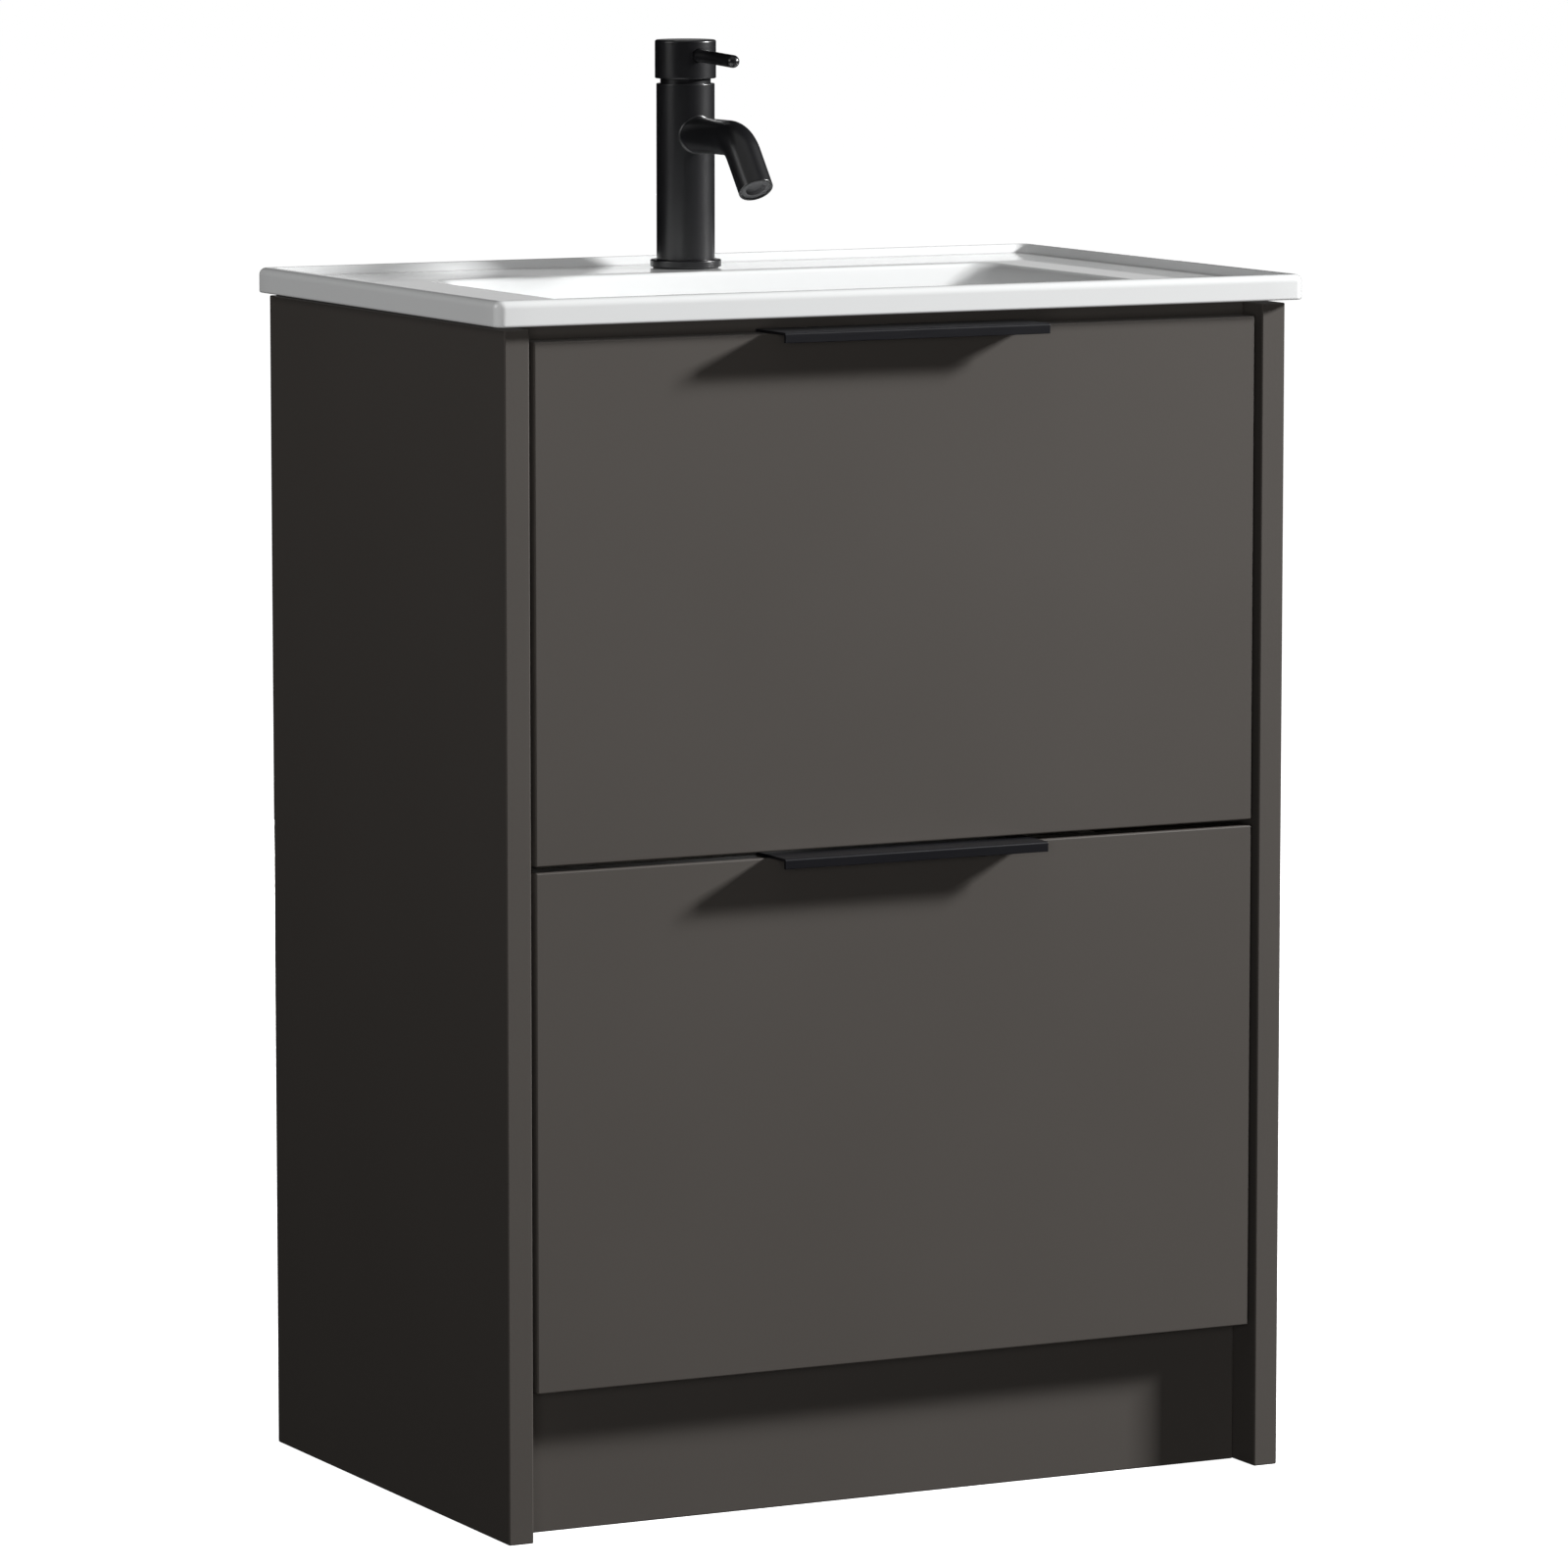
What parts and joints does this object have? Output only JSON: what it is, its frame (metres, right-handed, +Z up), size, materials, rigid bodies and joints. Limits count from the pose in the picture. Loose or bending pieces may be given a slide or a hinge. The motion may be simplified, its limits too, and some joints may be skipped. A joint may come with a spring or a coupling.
{
  "type": "bathroom vanity cabinet",
  "caption": "Floor-standing bathroom vanity with full-width drawers, edge pulls, a thin-edged ceramic basin and a single-lever basin tap.",
  "frame": {"origin": "bottom centre of the whole object's box, on the floor", "axes": "+X to the right seen from the front, +Y towards the wall behind, +Z up"},
  "size_m": [0.61, 0.4066, 0.9838],
  "materials": {
    "lacquered_board": "smooth matt grey-brown lacquer on fibreboard",
    "carcass_board": "matt grey-brown laminate on chipboard",
    "drawer_board": "light grey textured laminate on fibreboard",
    "recess_plastic": "moulded grey plastic",
    "beech": "grooved beech",
    "zinc": "die-cast zinc",
    "plated_steel": "bright zinc-plated steel",
    "black_aluminium": "satin black coated aluminium",
    "glazed_ceramic": "gloss white glaze",
    "sealant": "dark silicone bead",
    "seal_rubber": "black rubber",
    "bright_chrome": "polished chrome plate",
    "brass": "machined brass",
    "black_tap": "matt black coating on brass",
    "aerator_plastic": "dark grey moulded plastic",
    "cartridge_plastic": "off-white moulded plastic",
    "pin_steel": "ground stainless steel"
  },
  "bodies": {
    "cabinet": {"left_side_panel": "lacquered_board", "right_side_panel": "lacquered_board", "floor_panel": "carcass_board", "kickboard": "lacquered_board", "rear_plinth_rail": "carcass_board", "front_top_rail": "lacquered_board", "rear_top_rail": "carcass_board", "cam_discs": "zinc", "cam_bolts": "plated_steel", "dowels": "beech", "runner_screws": "plated_steel", "ceramic_basin": "glazed_ceramic", "basin_sealant": "sealant", "waste_body": "bright_chrome", "waste_seal": "seal_rubber", "waste_nut": "brass", "tap_base_ring": "black_tap", "tap_base_seal": "seal_rubber", "tap_body": "black_tap", "tap_aerator": "aerator_plastic", "tap_cartridge": "cartridge_plastic", "tap_cartridge_nut": "black_tap", "tap_stud": "plated_steel", "tap_clamp_washer": "plated_steel", "tap_clamp_nut": "brass", "upper_left_cabinet_runner": "plated_steel", "upper_right_cabinet_runner": "plated_steel", "lower_left_cabinet_runner": "plated_steel", "lower_right_cabinet_runner": "plated_steel"},
    "upper_drawer": {"upper_drawer_front": "lacquered_board", "upper_pull": "black_aluminium", "upper_drawer_left_side": "drawer_board", "upper_drawer_right_side": "drawer_board", "upper_drawer_left_back": "drawer_board", "upper_drawer_right_back": "drawer_board", "upper_drawer_recess": "recess_plastic", "upper_drawer_bottom": "drawer_board", "upper_drawer_screws": "plated_steel", "upper_left_drawer_runner": "plated_steel", "upper_right_drawer_runner": "plated_steel"},
    "upper_slides": {"upper_left_middle_runner": "plated_steel", "upper_right_middle_runner": "plated_steel", "upper_ball_cages": "plated_steel"},
    "lower_drawer": {"lower_drawer_front": "lacquered_board", "lower_pull": "black_aluminium", "lower_drawer_left_side": "drawer_board", "lower_drawer_right_side": "drawer_board", "lower_drawer_back": "drawer_board", "lower_drawer_bottom": "drawer_board", "lower_drawer_screws": "plated_steel", "lower_left_drawer_runner": "plated_steel", "lower_right_drawer_runner": "plated_steel"},
    "lower_slides": {"lower_left_middle_runner": "plated_steel", "lower_right_middle_runner": "plated_steel", "lower_ball_cages": "plated_steel"},
    "waste_plug": {"waste_stopper": "bright_chrome"},
    "tap_mixer": {"tap_spindle": "brass"},
    "tap_handle": {"tap_pivot_pin": "pin_steel", "tap_head": "black_tap", "tap_lever": "black_tap"}
  },
  "joints": [
    {"name": "upper_drawer_slide", "type": "slide", "parent": "cabinet", "child": "upper_drawer", "axis": [0, -1, 0], "range_m": [0, 0.3]},
    {"name": "upper_slides_travel", "type": "slide", "parent": "cabinet", "child": "upper_slides", "axis": [0, -1, 0], "range_m": [0, 0.15]},
    {"name": "lower_drawer_slide", "type": "slide", "parent": "cabinet", "child": "lower_drawer", "axis": [0, -1, 0], "range_m": [0, 0.3]},
    {"name": "lower_slides_travel", "type": "slide", "parent": "cabinet", "child": "lower_slides", "axis": [0, -1, 0], "range_m": [0, 0.15]},
    {"name": "waste_plug_lift", "type": "slide", "parent": "cabinet", "child": "waste_plug", "axis": [0, 0, 1], "range_m": [0, 0.009]},
    {"name": "tap_swivel", "type": "hinge", "parent": "cabinet", "child": "tap_mixer", "pos_m": [0, 0.1483, 0.9533], "axis": [0, 0, 1], "range_deg": [-45, 45]},
    {"name": "tap_lift", "type": "hinge", "parent": "tap_mixer", "child": "tap_handle", "pos_m": [0, 0.1528, 0.9618], "axis": [-1, 0, 0], "range_deg": [0, 11]}
  ],
  "couplings": [
    {"joint": "upper_slides_travel", "follows": "upper_drawer_slide", "ratio": 0.5},
    {"joint": "lower_slides_travel", "follows": "lower_drawer_slide", "ratio": 0.5}
  ]
}
